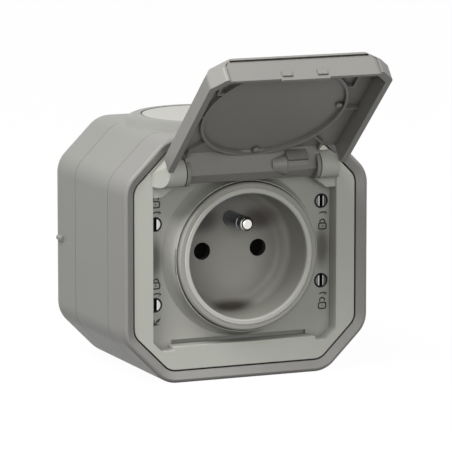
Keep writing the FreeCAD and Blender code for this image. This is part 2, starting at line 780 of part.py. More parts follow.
def socket_cover():
    """The mechanism's cover: flat ring, seal groove, tapering well, floor with pin holes, flange."""
    outer = insert_radius
    edge = insert_edge_rounding
    flange_front = window_back + insert_seal_thickness
    flange_back = flange_front + flange_thickness
    profile = [
        (0, well_floor), (well_floor_radius - well_floor_fillet, well_floor),
        (well_floor_radius, well_floor - well_floor_fillet),
        (well_mouth_radius, insert_front + seal_depth), (seal_radius, insert_front + seal_depth),
        (seal_radius, insert_front), (outer - edge, insert_front), (outer, insert_front + edge),
        (outer, flange_front), (flange_radius, flange_front), (flange_radius, flange_back),
        (well_floor_radius + insert_wall, flange_back), (well_floor_radius + insert_wall, cover_back),
        (0, cover_back),
    ]
    bend = well_floor_fillet * (1 - math.sqrt(0.5))
    cover = turned(profile, [(1, (well_floor_radius - bend, well_floor - bend))])
    behind = cover_back + past
    before = well_floor - past
    for side in (-1, 1):
        cover = cover.cut(rod(side * pin_spacing / 2, 0, pin_hole_radius, behind, before))
    cover = cover.cut(rod(0, earth_offset, earth_pin_radius + pin_seat_play, behind, before))
    for side in (-1, 1):
        cover = cover.cut(rod(side * base_screw_x, -side * base_screw_z, base_screw_radius,
                              cover_back + past, cover_back - well_floor_thickness + past))
    return cover


def rim_seal():
    """The light soft ring in the mouth of the well that the lid's ring closes on."""
    back = insert_front + seal_depth
    front = insert_front - seal_proud
    profile = [(well_mouth_radius, back), (well_mouth_radius, front + 0.3), (well_mouth_radius + 0.3, front),
               (seal_radius - 0.3, front), (seal_radius, front + 0.3), (seal_radius, back)]
    return turned(profile)


def earth_pin():
    """The turned earth pin, with a rounded tip, a ring groove and a shoulder behind the well floor."""
    r = earth_pin_radius
    tip = well_floor - earth_pin_length
    groove = tip + earth_groove_position
    tip_inner = r - earth_tip_radius
    bend = earth_tip_radius * (1 - math.sqrt(0.5))
    profile = [
        (0, tip), (tip_inner, tip), (r, tip + earth_tip_radius),
        (r, groove), (r - earth_groove_depth, groove + 0.3),
        (r - earth_groove_depth, groove + earth_groove_width - 0.3), (r, groove + earth_groove_width),
        (r, cover_back + contact_length), (0, cover_back + contact_length),
    ]
    pin = turned(profile, [(1, (r - bend, tip + bend))])
    pin.translate(V(0, 0, earth_offset))
    return pin


def shutter():
    """The sliding guard behind the pin holes; its two windows meet the holes when it is pushed down."""
    front = cover_back + shutter_play
    back = front + shutter_thickness
    plate = box(-shutter_half_width, shutter_half_width, front, back, shutter_bottom, shutter_top)
    for side in (-1, 1):
        x = side * pin_spacing / 2
        window = box(x - shutter_window_half, x + shutter_window_half, front - past, back + past,
                     shutter_window_gap, shutter_window_gap + 2 * shutter_window_half)
        plate = plate.cut(window)
    slot = box(-earth_slot_half, earth_slot_half, front - past, back + past,
               earth_offset - earth_slot_half, shutter_top + past)
    plate = plate.cut(slot)
    heel = box(-spring_reach, spring_reach, front, front + 2 * spring_reach,
               shutter_bottom - shutter_heel, shutter_bottom + shutter_heel)
    boss = Part.makeCylinder(spring_boss_radius, spring_boss_length,
                             V(0, spring_y, shutter_bottom - shutter_heel - spring_boss_length), V(0, 0, 1))
    return plate.fuse(heel).fuse(boss).removeSplitter()


def shutter_spring():
    """The small coil that pushes the guard back up."""
    low = spring_end_bottom + spring_wire
    high = shutter_bottom - shutter_heel - spring_wire
    helix = Part.makeHelix((high - low) / spring_turns, high - low, spring_radius)
    section = Part.Wire(Part.makeCircle(spring_wire, V(spring_radius, 0, 0), V(0, 1, 0)))
    coil = Part.Wire(helix).makePipeShell([section], True, False)
    coil.translate(V(0, spring_y, low))
    return coil


def base_outline_block(y_back, y_front, inset):
    """The round block of the mechanism with flats at both sides."""
    flat = base_flat - inset
    block = rod(0, 0, base_radius - inset, y_back, y_front)
    return block.common(box(-flat, flat, y_front, y_back, -base_radius, base_radius))


def contact_places():
    """Each contact's name and its x place."""
    return (("contact_neutral", -pin_spacing / 2), ("contact_live", pin_spacing / 2))


def contact_chamber(x, play):
    """The room that one contact and its terminal take in the base."""
    front = cover_back + shutter_space + base_wall
    radius = contact_inner_radius + contact_wall + play
    back = front + contact_length + play
    round_part = rod(x, 0, radius, back + strip_thickness, front)
    half = terminal_size / 2 + play
    leg = box(x - half, x + half, back - terminal_size - strip_thickness, back + strip_thickness,
              terminal_height - half, 0)
    return round_part.fuse(leg)


def mechanism_base():
    """The moulded base: guard guide in front, a room for each contact, wire holes at the back."""
    block = base_outline_block(base_back, cover_back, 0)
    front = cover_back
    guide_low = spring_end_bottom
    travel_low = shutter_bottom - shutter_travel - shutter_play
    side_play = shutter_half_width + shutter_play
    block = block.cut(box(-side_play, side_play, front - past, front + shutter_space,
                          travel_low, shutter_top + shutter_play))
    spring_half = spring_reach + shutter_play
    block = block.cut(box(-spring_half, spring_half, front - past, spring_y + spring_half,
                          guide_low, shutter_bottom + shutter_heel + shutter_play))
    wall_front = front + shutter_space + base_wall
    for _, x in contact_places():
        block = block.cut(rod(x, 0, pin_hole_radius, wall_front + past, front))
        block = block.cut(contact_chamber(x, chamber_play))
        block = block.cut(rod(x, terminal_height, wire_hole_radius, base_back + past,
                              base_back - base_depth / 2))
    block = block.cut(rod(0, earth_offset, earth_pin_radius + pin_seat_play,
                          cover_back + contact_length + past, front - past))
    earth_half = terminal_size / 2 + chamber_play
    pocket_front = cover_back + contact_length
    pocket_back = pocket_front + strip_thickness + terminal_size + chamber_play
    block = block.cut(box(-earth_half, earth_half, pocket_front, pocket_back,
                          earth_offset - earth_pin_radius - chamber_play,
                          earth_terminal_height + earth_half))
    block = block.cut(rod(0, earth_terminal_height, wire_hole_radius, base_back + past, pocket_back - past))
    for x, y, z, up in terminal_screw_places():
        access = Part.makeCylinder(terminal_head_radius + chamber_play, base_radius,
                                   V(x, y, z), V(0, 0, -up))
        block = block.cut(access)
    for side in (-1, 1):
        x = side * base_screw_x
        z = -side * base_screw_z
        block = block.cut(rod(x, z, base_screw_radius + pin_seat_play, base_back + past, front - past))
        block = block.cut(rod(x, z, base_screw_head + chamber_play, base_back + past,
                              base_back - base_screw_head_length - chamber_play))
    return block.removeSplitter()


def contact(x):
    """One brass contact: a split sleeve for the plug's pin and a foot that ends in a screw clamp."""
    front = cover_back + shutter_space + base_wall + chamber_play / 2
    back = front + contact_length
    outer = contact_inner_radius + contact_wall
    sleeve = tube(x, 0, outer, contact_inner_radius, back, front)
    slit_end = back - contact_root
    sleeve = sleeve.cut(box(x - contact_slit / 2, x + contact_slit / 2, front - past, slit_end,
                            -outer - past, outer + past))
    foot = box(x - strip_width / 2, x + strip_width / 2, back, back + strip_thickness,
               terminal_height - strip_width / 2, contact_inner_radius)
    half = terminal_size / 2
    clamp = box(x - half, x + half, back - terminal_size, back,
                terminal_height - half, terminal_height + half)
    clamp = clamp.cut(rod(x, terminal_height, wire_hole_radius, back + strip_thickness + past,
                          back - terminal_size + clamp_floor))
    foot = foot.cut(rod(x, terminal_height, wire_hole_radius, back + strip_thickness + past, back - past))
    hole = Part.makeCylinder(terminal_screw_radius, half + past,
                             V(x, back - half, terminal_height - half - past), V(0, 0, 1))
    return sleeve.fuse(foot).fuse(clamp).cut(hole).removeSplitter()


def earth_terminal():
    """The brass strip on the end of the earth pin, with its own screw clamp above."""
    front = cover_back + contact_length
    back = front + strip_thickness
    half = terminal_size / 2
    strip = box(-strip_width / 2, strip_width / 2, front, back,
                earth_offset - earth_pin_radius, earth_terminal_height + half)
    clamp = box(-half, half, back, back + terminal_size,
                earth_terminal_height - half, earth_terminal_height + half)
    clamp = clamp.cut(rod(0, earth_terminal_height, wire_hole_radius, back + terminal_size + past,
                          back + clamp_floor))
    hole = Part.makeCylinder(terminal_screw_radius, half + past,
                             V(0, back + half, earth_terminal_height), V(0, 0, 1))
    return strip.fuse(clamp).cut(hole).removeSplitter()


def terminal_screw_places():
    """For each clamp: where its screw enters, and which way the screw points."""
    contact_back = cover_back + shutter_space + base_wall + chamber_play / 2 + contact_length
    half = terminal_size / 2
    places = [(x, contact_back - half, terminal_height - half, 1) for _, x in contact_places()]
    earth_y = cover_back + contact_length + strip_thickness + half
    places.append((0, earth_y, earth_terminal_height + half, -1))
    return places


def terminal_screws():
    """The three slotted clamp screws, heads outwards and tips on the wire."""
    screws = []
    for x, y, z, up in terminal_screw_places():
        shank = Part.makeCylinder(terminal_screw_radius - pin_seat_play, terminal_screw_length + 0.2,
                                  V(x, y, z - up * (terminal_gap + 0.2)), V(0, 0, up))
        head = Part.makeCylinder(terminal_head_radius, terminal_head_length,
                                 V(x, y, z - up * terminal_gap), V(0, 0, -up))
        end = z - up * (terminal_gap + terminal_head_length)
        slot_top = max(end, end + up * screw_slot_depth)
        slot_low = min(end, end + up * screw_slot_depth)
        slot = box(x - screw_slot_half, x + screw_slot_half,
                   y - terminal_head_radius - past, y + terminal_head_radius + past, slot_low, slot_top)
        screws.append(shank.fuse(head).cut(slot))
    return Part.makeCompound(screws)


def mechanism_screws():
    """The two long screws that hold the base to the socket cover from behind."""
    screws = []
    for side in (-1, 1):
        x = side * base_screw_x
        z = -side * base_screw_z
        seat = base_back - base_screw_head_length - chamber_play
        shank = rod(x, z, base_screw_radius - pin_seat_play, seat + 0.2,
                    cover_back - well_floor_thickness + 1 + chamber_play)
        head = rod(x, z, base_screw_head, seat + base_screw_head_length, seat)
        slot = box(x - screw_slot_half, x + screw_slot_half,
                   seat + base_screw_head_length - screw_slot_depth, base_back + past,
                   z - base_screw_head - past, z + base_screw_head + past)
        screws.append(shank.fuse(head).cut(slot))
    return Part.makeCompound(screws)


def insert_seal():
    """The flat seal between the plate and the flange of the socket cover."""
    back = window_back + insert_seal_thickness
    return tube(0, 0, flange_radius - chamber_play, insert_seal_inner, back, window_back)


def lock_screw(x, z):
    """One quarter-turn screw: slotted head, shank and a cross foot."""
    head_front = window_floor
    head_back = lock_seal_front
    roof_back = window_back + lock_boss_height + post_gap + post_roof
    foot_front = roof_back + foot_play
    head = rod(x, z, lock_head_radius, head_back, head_front)
    shank = rod(x, z, lock_shank_radius, foot_front + foot_thickness, head_back - 0.2)
    foot = box(x - foot_half_length, x + foot_half_length, foot_front, foot_front + foot_thickness,
               z - foot_width / 2, z + foot_width / 2)
    screw = head.fuse(shank).fuse(foot)
    slot = box(x - lock_slot_width / 2, x + lock_slot_width / 2,
               head_front - past, head_front + lock_slot_depth,
               z - lock_head_radius - past, z + lock_head_radius + past)
    return screw.cut(slot).removeSplitter()


def lock_seals():
    """The four small rings under the heads of the lock screws."""
    outer = lock_head_radius + lock_head_play - 0.05
    inner = lock_shank_radius + 0.05
    rings = [tube(x, z, outer, inner, lock_seal_front + lock_seal_thickness, lock_seal_front)
             for _, x, z in lock_places]
    return Part.makeCompound(rings)


def entry_membrane():
    """The soft disc in the cable entry, with a spigot that stops inside the hole."""
    top = entry_top - membrane_recess
    disc = upright(membrane_radius, top - membrane_thickness, top)
    spigot_low = top - membrane_thickness - membrane_spigot_length
    spigot = upright(entry_hole_radius - membrane_clearance, spigot_low, top - membrane_thickness + 0.2)
    spigot = spigot.cut(upright(entry_hole_radius - membrane_clearance - membrane_spigot_wall,
                                spigot_low - past, top - membrane_thickness))
    return disc.fuse(spigot).removeSplitter()


def build():
    save("back_box", back_box())
    save("body_gasket", body_gasket())
    save("front_cover", front_cover())
    save("plate_gasket", plate_gasket())
    save("face_plate", face_plate())
    save("hinge_pin_left", hinge_pin(-1))
    save("hinge_pin_right", hinge_pin(1))
    save("lid", opened(lid_closed()))
    save("socket_cover", socket_cover())
    save("rim_seal", rim_seal())
    save("earth_pin", earth_pin())
    save("safety_shutter", shutter())
    save("shutter_spring", shutter_spring())
    save("insert_seal", insert_seal())
    save("mechanism_base", mechanism_base())
    save("mechanism_screws", mechanism_screws())
    for name, x in contact_places():
        save(name, contact(x))
    save("earth_terminal", earth_terminal())
    save("terminal_screws", terminal_screws())
    for name, x, z in lock_places:
        save(name, lock_screw(x, z))
    save("lock_screw_seals", lock_seals())
    save("entry_membrane", entry_membrane())


build()
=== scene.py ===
# %% [markdown]
# # A weatherproof wall socket, dressed for its portrait
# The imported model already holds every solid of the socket: box, cover, face plate, lid, well and the
# works behind it. This lesson loads it as a fixed frame, puts a camera and soft light in front of it,
# gives each moulding the surface that its tool left on it, and adds the fine things that a solid
# model leaves out, such as the small signs beside the lock screws.

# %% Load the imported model
import math

import bpy
import numpy as np
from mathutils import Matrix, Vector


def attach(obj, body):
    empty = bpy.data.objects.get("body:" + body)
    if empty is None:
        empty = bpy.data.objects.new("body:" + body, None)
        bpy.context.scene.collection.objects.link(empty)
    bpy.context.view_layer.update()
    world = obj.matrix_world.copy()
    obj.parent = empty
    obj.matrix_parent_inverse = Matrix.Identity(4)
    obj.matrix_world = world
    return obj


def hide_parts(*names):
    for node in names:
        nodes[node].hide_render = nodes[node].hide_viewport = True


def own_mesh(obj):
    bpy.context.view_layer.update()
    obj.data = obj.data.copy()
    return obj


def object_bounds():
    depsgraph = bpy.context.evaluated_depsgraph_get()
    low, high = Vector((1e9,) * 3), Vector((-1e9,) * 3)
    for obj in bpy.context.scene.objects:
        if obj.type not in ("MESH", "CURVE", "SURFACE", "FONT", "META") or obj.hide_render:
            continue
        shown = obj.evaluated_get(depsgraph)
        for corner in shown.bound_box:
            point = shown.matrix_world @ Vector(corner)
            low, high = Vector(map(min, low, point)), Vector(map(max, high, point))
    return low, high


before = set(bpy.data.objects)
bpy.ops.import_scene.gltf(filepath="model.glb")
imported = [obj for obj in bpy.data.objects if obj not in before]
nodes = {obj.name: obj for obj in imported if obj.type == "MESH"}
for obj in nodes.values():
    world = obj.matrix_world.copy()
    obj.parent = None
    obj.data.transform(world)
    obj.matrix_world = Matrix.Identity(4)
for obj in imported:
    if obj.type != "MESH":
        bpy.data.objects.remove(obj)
solid_low, solid_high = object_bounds()
print("nodes", len(nodes), "box", [round(v, 4) for v in solid_low], [round(v, 4) for v in solid_high])

# %% [markdown]
# ## Units and colours
# Sizes are thought of in millimetres, because that is how a maker knows them, and Blender works in
# metres, so one constant turns one into the other. Colours are read off as hex values, which are
# gamma coded, and a shader wants linear light, so a single function undoes the coding.

# %% Units and colours
MM = 0.001


def linear(hex_colour):
    """Each channel is hex/255, then (c + 0.055)/1.055 to the power 2.4, or c/12.92 near black."""
    code = hex_colour.lstrip("#")
    channels = np.array([int(code[i:i + 2], 16) for i in (0, 2, 4)]) / 255
    low = channels / 12.92
    high = ((channels + 0.055) / 1.055) ** 2.4
    return (*np.where(channels <= 0.04045, low, high), 1.0)


print("mid grey in linear light", [round(float(c), 3) for c in linear("#808080")])

# %% [markdown]
# ## The camera
# The picture was taken from the left of the front and a little above, through a long lens, so that
# parallel edges hardly run together. The camera is placed by its target, two angles and a distance,
# and its lens is worked out from a focal length in pixels of a picture 452 pixels wide.

# %% The camera
PICTURE = 452
SENSOR = 36.0
focal_pixels = 4095.0
look_at = np.array([4.60, -34.0, 5.00]) * MM
yaw, lift, distance = math.radians(23.0), math.radians(9.3), 1300 * MM
away = np.array([-math.sin(yaw) * math.cos(lift), -math.cos(yaw) * math.cos(lift), math.sin(lift)])
eye = look_at + away * distance

lens_data = bpy.data.cameras.new("portrait_lens")
lens_data.sensor_width = SENSOR
lens_data.lens = focal_pixels * SENSOR / PICTURE
lens_data.clip_end = 20
portrait = bpy.data.objects.new("portrait_camera", lens_data)
bpy.context.scene.collection.objects.link(portrait)
portrait.location = eye
portrait.rotation_euler = (math.pi / 2 - lift, 0, -yaw)
bpy.context.scene.camera = portrait
print("lens", round(lens_data.lens, 1), "mm, eye", [round(float(v), 3) for v in eye])

# %% [markdown]
# ## One helper for shader nodes
# Every light and finish below is a small tree of nodes. A node is always made in the same way: it is
# created, its settings are chosen, and its inputs are filled with a value or linked to another node.
# One function does all of this, so that a tree reads from top to bottom like a recipe.

# %% One helper for shader nodes
def add_node(tree, kind, inputs=None, **settings):
    """One shader node: its settings are attributes, its inputs are values or sockets to link."""
    node = tree.nodes.new(kind)
    for name, value in settings.items():
        setattr(node, name, value)
    for name, value in (inputs or {}).items():
        if isinstance(value, bpy.types.NodeSocket):
            tree.links.new(value, node.inputs[name])
        else:
            node.inputs[name].default_value = value
    return node


def new_finish(name):
    """An empty material and its node tree."""
    material = bpy.data.materials.new(name)
    material.use_nodes = True
    material.node_tree.nodes.clear()
    return material, material.node_tree


print("helpers:", add_node.__name__, "and", new_finish.__name__)

# %% [markdown]
# ## The light of the room
# The world is a white room that fills the shadows. At that level the camera would see it as grey, so
# camera rays meet plain white instead. Mirror and glass rays meet the same white, which makes metal
# show the background that the camera sees, and the light on the socket stays as it is.

# %% The light of the room
ROOM_LIGHT = 0.32
scene = bpy.context.scene
scene.view_settings.view_transform = "Standard"


def eye_rays(tree):
    """One for camera, mirror and glass rays, and nothing for the rays that light other things."""
    rays = add_node(tree, "ShaderNodeLightPath").outputs
    eye_or_mirror = add_node(tree, "ShaderNodeMath", {0: rays["Is Camera Ray"], 1: rays["Is Glossy Ray"]},
                             operation="MAXIMUM").outputs[0]
    return add_node(tree, "ShaderNodeMath", {0: eye_or_mirror, 1: rays["Is Transmission Ray"]},
                    operation="MAXIMUM").outputs[0]


world = bpy.data.worlds.new("white_studio")
scene.world = world
world.use_nodes = True
sky = world.node_tree
sky.nodes.clear()
room = add_node(sky, "ShaderNodeBackground", {"Color": (1, 1, 1, 1), "Strength": ROOM_LIGHT})
white = add_node(sky, "ShaderNodeBackground", {"Color": (1, 1, 1, 1), "Strength": 1.0})
mixed = add_node(sky, "ShaderNodeMixShader", {0: eye_rays(sky), 1: room.outputs[0], 2: white.outputs[0]})
add_node(sky, "ShaderNodeOutputWorld", {"Surface": mixed.outputs[0]})
print("room light", ROOM_LIGHT)

# %% [markdown]
# ## Two soft lamps
# A wide lamp above and to the left is the strongest, so the top and the cut corners are the brightest
# faces. A weaker one stands far in front, a little to the left, and opens up the well. All the light
# together comes to about one unit, at which a colour shows as it is written.

# %% Two soft lamps
def soft_lamp(name, place, aim, size, watts):
    """A square lamp at a place, turned to face the aim; both are in metres."""
    data = bpy.data.lights.new(name, "AREA")
    data.size = size
    data.energy = watts
    lamp = bpy.data.objects.new(name, data)
    scene.collection.objects.link(lamp)
    lamp.location = place
    heading = np.array(aim) - np.array(place)
    tilt = math.atan2(math.hypot(heading[0], heading[1]), -heading[2])
    lamp.rotation_euler = (tilt, 0, math.atan2(heading[1], heading[0]) - math.pi / 2)
    return lamp


lamps = [soft_lamp("upper_left_lamp", place=(-0.40, -0.31, 0.64), aim=(0, -0.03, 0), size=0.36, watts=5.3),
         soft_lamp("front_lamp", place=(-0.20, -1.00, 0.14), aim=(0, -0.05, 0), size=0.50, watts=3.15)]
print("lamps", [lamp.name for lamp in lamps])

# %% [markdown]
# ## The table
# The socket stands on a plain board. A white board would throw light up under the open lid and wash
# out its ribs, so its paint is dark grey, and it glows for the camera alone until it looks white. The
# paint still takes the socket's shadow.

# %% The table
HALF_TABLE, TABLE_GLOW = 6.0, 0.97
table_level = float(solid_low[2])
corners = np.array([[-1, -1], [1, -1], [1, 1], [-1, 1]]) * HALF_TABLE
table_mesh = bpy.data.meshes.new("white_table")
table_mesh.from_pydata([(x, y, table_level) for x, y in corners], [], [(0, 1, 2, 3)])
table = bpy.data.objects.new("white_table", table_mesh)
scene.collection.objects.link(table)
table_top, board = new_finish("lacquered_board")
paint = add_node(board, "ShaderNodeBsdfDiffuse", {"Color": linear("#3E3E3C")})
faint = add_node(board, "ShaderNodeMath", {0: eye_rays(board), 1: TABLE_GLOW}, operation="MULTIPLY")
glow = add_node(board, "ShaderNodeEmission", {"Color": (1, 1, 1, 1), "Strength": faint.outputs[0]})
lit = add_node(board, "ShaderNodeAddShader", {0: paint.outputs[0], 1: glow.outputs[0]})
add_node(board, "ShaderNodeOutputMaterial", {"Surface": lit.outputs[0]})
table_mesh.materials.append(table_top)
print("table at", round(table_level / MM, 2), "mm")

# %% [markdown]
# ## Moulded plastic
# The housing is ABS, moulded in steel tools that were spark eroded, which leaves a very fine even
# grain and a silky, half-matt gloss. Pigment is mixed in, so the colour runs right through and only
# drifts by a hair over a few centimetres where the melt flowed. The grain is a noise of about 0.35 mm,
# coarser than the real 0.05 mm so that it shows, and a Bevel node rounds every edge by the radius of
# the tool. The colour may change once along the depth of the piece, which paints shade into a recess.
# An Ambient Occlusion node, which tells how closed in a point is, paints shade into the last few
# millimetres of corners by darkening the colour there.
# Marks that only one piece has are masks, which the next cells make. A noise hardly leaves the middle
# of its range, and a node that spreads it therefore starts from the two ends of that middle part.

# %% Moulded plastic
INTO_WALL = (0, 1, 0)
SIDEWAYS = (1, 0, 0)
FLOW_MM, GRAIN_MM, GRAIN_DEPTH_MM = 22, 0.35, 0.012
NOISE_LOW, NOISE_HIGH = 0.3, 0.7
CLOSED_IN, OPEN_AIR = 0.15, 0.85


def depth_blend(tree, axis, start_mm, end_mm):
    """0 before start and 1 after end along the unit axis, from the Object coordinate in between."""
    place = add_node(tree, "ShaderNodeTexCoord").outputs["Object"]
    along = add_node(tree, "ShaderNodeVectorMath", {0: place, 1: axis}, operation="DOT_PRODUCT")
    return add_node(tree, "ShaderNodeMapRange",
                    {0: along.outputs["Value"], 1: start_mm * MM, 2: end_mm * MM,
                     3: 0.0, 4: 1.0}).outputs[0]


def plastic(name, colour, drift, gloss=0.42, shine=0.4, edge_mm=0.25, deep=None, corner_mm=3.0,
            corner_shade=0.45, marks=()):
    """ABS: colour mixed with its drift by a slow noise, with painted shade in corners, bump from a fine
    noise.
    """
    material, tree = new_finish(name)
    place = add_node(tree, "ShaderNodeTexCoord").outputs["Object"]
    flow = add_node(tree, "ShaderNodeTexNoise",
                    {"Vector": place, "Scale": 1 / (FLOW_MM * MM), "Detail": 3.0, "Roughness": 0.5})
    shade = add_node(tree, "ShaderNodeMix",
                     {0: flow.outputs["Fac"], 6: linear(colour), 7: linear(drift)},
                     data_type="RGBA").outputs[2]
    if deep:
        recess, axis, start_mm, end_mm = deep
        shade = add_node(tree, "ShaderNodeMix",
                         {0: depth_blend(tree, axis, start_mm, end_mm), 6: shade, 7: linear(recess)},
                         data_type="RGBA").outputs[2]
    # Painted shade: the colour is darkened where a point is closed in by nearby surfaces.
    corner = add_node(tree, "ShaderNodeAmbientOcclusion", {"Distance": corner_mm * MM}, samples=12)
    painted_corner_shade = add_node(tree, "ShaderNodeMapRange",
                     {0: corner.outputs["AO"], 1: CLOSED_IN, 2: OPEN_AIR, 3: corner_shade, 4: 1.0})
    shade = add_node(tree, "ShaderNodeVectorMath", {0: shade, "Scale": painted_corner_shade.outputs[0]},
                     operation="SCALE").outputs[0]
    for mask, dirt in marks:
        shade = add_node(tree, "ShaderNodeMix", {0: mask(tree), 6: shade, 7: linear(dirt)},
                         data_type="RGBA").outputs[2]
    speck = add_node(tree, "ShaderNodeTexNoise",
                     {"Vector": place, "Scale": 1 / (GRAIN_MM * MM), "Detail": 2.0, "Roughness": 0.6})
    rough = add_node(tree, "ShaderNodeMapRange",
                     {0: speck.outputs["Fac"], 1: NOISE_LOW, 2: NOISE_HIGH,
                      3: gloss - 0.05, 4: gloss + 0.07})
    edge = add_node(tree, "ShaderNodeBevel", {"Radius": edge_mm * MM}, samples=6)
    grain = add_node(tree, "ShaderNodeBump",
                     {"Height": speck.outputs["Fac"], "Distance": GRAIN_DEPTH_MM * MM, "Strength": 1.0,
                      "Normal": edge.outputs[0]})
    skin = add_node(tree, "ShaderNodeBsdfPrincipled",
                    {"Base Color": shade, "Roughness": rough.outputs[0],
                     "Normal": grain.outputs[0], "IOR": 1.5, "Specular IOR Level": shine})
    add_node(tree, "ShaderNodeOutputMaterial", {"Surface": skin.outputs[0]})
    return material


box_abs = plastic("moulded_abs_box", "#94948F", "#999994")
cover_abs = plastic("moulded_abs_cover", "#959390", "#9A9894")
base_phenolic = plastic("moulded_phenolic_base", "#303030", "#343433", gloss=0.5)
guard_nylon = plastic("moulded_nylon_guard", "#060504", "#080706", gloss=0.85, shine=0.1)
print("nodes in the box's shader", len(box_abs.node_tree.nodes))

# %% [markdown]
# ## Masks for what one piece alone shows
# A mask is a number between 0 and 1 at every point of a piece, and it says how much of another colour
# shows there. A picture could be painted for it, but a sum over the Object coordinate needs no file
# and stays sharp. Two kinds are enough here: a hard band between two planes, and a soft patch that
# fades over an ellipsoid. Both can fold the left half onto the right, because the socket is almost
# the same on both sides.

# %% Two kinds of mask
def within(tree, axis, middle_mm, half_mm, both_sides=False):
    """1 where the way along the axis is within half of the middle, or of its mirror, and else 0."""
    place = add_node(tree, "ShaderNodeTexCoord").outputs["Object"]
    along = add_node(tree, "ShaderNodeVectorMath", {0: place, 1: axis},
                     operation="DOT_PRODUCT").outputs["Value"]
    if both_sides:
        along = add_node(tree, "ShaderNodeMath", {0: along}, operation="ABSOLUTE").outputs[0]
    return add_node(tree, "ShaderNodeMath", {0: along, 1: middle_mm * MM, 2: half_mm * MM},
                    operation="COMPARE").outputs[0]


def soft_patch(tree, centre_mm, half_mm, inside, outside=0.0, folded=False):
    """A value that fades from inside to outside over the ellipsoid |(p - c) / h| = 0.2 to 1."""
    place = add_node(tree, "ShaderNodeTexCoord").outputs["Object"]
    if folded:
        place = add_node(tree, "ShaderNodeVectorMath", {0: place}, operation="ABSOLUTE").outputs[0]
    offset = add_node(tree, "ShaderNodeVectorMath", {0: place, 1: [c * MM for c in centre_mm]},
                      operation="SUBTRACT").outputs[0]
    scaled = add_node(tree, "ShaderNodeVectorMath", {0: offset, 1: [1 / (h * MM) for h in half_mm]},
                      operation="MULTIPLY").outputs[0]
    reach = add_node(tree, "ShaderNodeVectorMath", {0: scaled}, operation="LENGTH").outputs["Value"]
    return add_node(tree, "ShaderNodeMapRange", {0: reach, 1: 1.0, 2: 0.2, 3: outside, 4: inside},
                    interpolation_type="SMOOTHSTEP").outputs[0]


print("kinds of mask:", within.__name__, "and", soft_patch.__name__)

# %% [markdown]
# ## The lid and its groove
# The free end of the lid has a shallow recess for a fingertip, with a fine groove as its border. The
# lid stands open, so its own directions are turned with it: one runs from the hinge to the free end,
# the other through the lid's thickness. The groove's shade is painted as a band on each side and one
# under the lip. The hollow behind the ribs gets deeper painted corner shade than other pieces, as no
# light comes in from above.

# %% The lid and its groove
OPEN_ANGLE = math.radians(131.5)
HINGE = np.array([0.0, -63.5, 27.8])
ALONG_LID = np.array([0, -math.sin(OPEN_ANGLE), -math.cos(OPEN_ANGLE)])
THROUGH_LID = np.array([0, -math.cos(OPEN_ANGLE), math.sin(OPEN_ANGLE)])
RECESS_REACH, RECESS_LIP, RECESS_SIDE = 53.9, 3.3, 24.45
END_BAND, LIP_BAND, SIDE_BAND, SIDE_REACH = 0.2, 0.25, 0.3, 24.8


def painted_groove_shade(tree):
    """Painted groove shade at the lid's free end: a band at its two sides and one under its lip."""
    end = within(tree, ALONG_LID, RECESS_REACH + float(HINGE @ ALONG_LID), END_BAND)
    lip = within(tree, THROUGH_LID, RECESS_LIP + float(HINGE @ THROUGH_LID), LIP_BAND)
    side = within(tree, SIDEWAYS, RECESS_SIDE, SIDE_BAND, both_sides=True)
    inside = within(tree, SIDEWAYS, 0.0, SIDE_REACH, both_sides=True)
    border = add_node(tree, "ShaderNodeMath", {0: side, 1: lip}, operation="MAXIMUM").outputs[0]
    border = add_node(tree, "ShaderNodeMath", {0: border, 1: inside}, operation="MULTIPLY").outputs[0]
    return add_node(tree, "ShaderNodeMath", {0: border, 1: end}, operation="MULTIPLY").outputs[0]


# The lid's finish paints the shade of the finger recess's groove.
lid_abs = plastic("moulded_abs_lid", "#92908C", "#979591", corner_mm=4.5, corner_shade=0.22,
                  marks=((painted_groove_shade, "#8C8985"),))
print("free end looks along", [round(float(v), 2) for v in ALONG_LID])

# %% [markdown]
# ## The plate and the well
# The plate is the lightest plastic, and its window is painted darker than its rim as shade. Shade is
# also painted on the window's floor left and right of the collar, where it nearly meets the side walls.
# The middle of the well's floor stays pale, and shade is painted in the corner round it: beside the
# earth pin and at the bottom. The walls of the pin holes lie deeper than the floor, so a change of
# colour along the depth paints them black as shade.
# Each patch is given by its centre and its half sizes in millimetres.

# %% The plate and the well
NARROWS_SHADE = ((28.4, 55.0, 0.0), (3.6, 2.5, 9.5))
# The well's floor keeps its colour in the middle and gets painted shade round it.
UNSHADED_MIDDLE = ((1.5, -48.0, -4.0), (18.5, 30.0, 18.5))
FLOOR_START, FLOOR_END = -50.0, -48.6
# Three patches of painted shade where the well's wall meets its floor.
SHADE_PATCHES = (((-9.5, -48.2, 10.0), (8.0, 7.0, 6.2)), ((9.8, -48.4, 9.4), (8.8, 7.0, 5.4)),
         ((-0.5, -49.2, -18.0), (12.0, 4.5, 3.4)))


def painted_shade_narrows(tree):
    """Painted shade on the window's floor where the collar comes near the side walls."""
    return soft_patch(tree, *NARROWS_SHADE, 0.85, folded=True)


def shaded_floor_edge(tree):
    """Painted shade on the well's floor round its pale middle."""
    far = soft_patch(tree, *UNSHADED_MIDDLE, 0.0, outside=0.85)
    on_floor = depth_blend(tree, INTO_WALL, FLOOR_START, FLOOR_END)
    return add_node(tree, "ShaderNodeMath", {0: far, 1: on_floor}, operation="MULTIPLY").outputs[0]


def painted_shade_patches(tree):
    """The three soft patches of painted shade, each point taking the largest."""
    spots = [soft_patch(tree, centre, half, 0.88) for centre, half in SHADE_PATCHES]
    upper = add_node(tree, "ShaderNodeMath", {0: spots[0], 1: spots[1]}, operation="MAXIMUM").outputs[0]
    return add_node(tree, "ShaderNodeMath", {0: upper, 1: spots[2]}, operation="MAXIMUM").outputs[0]


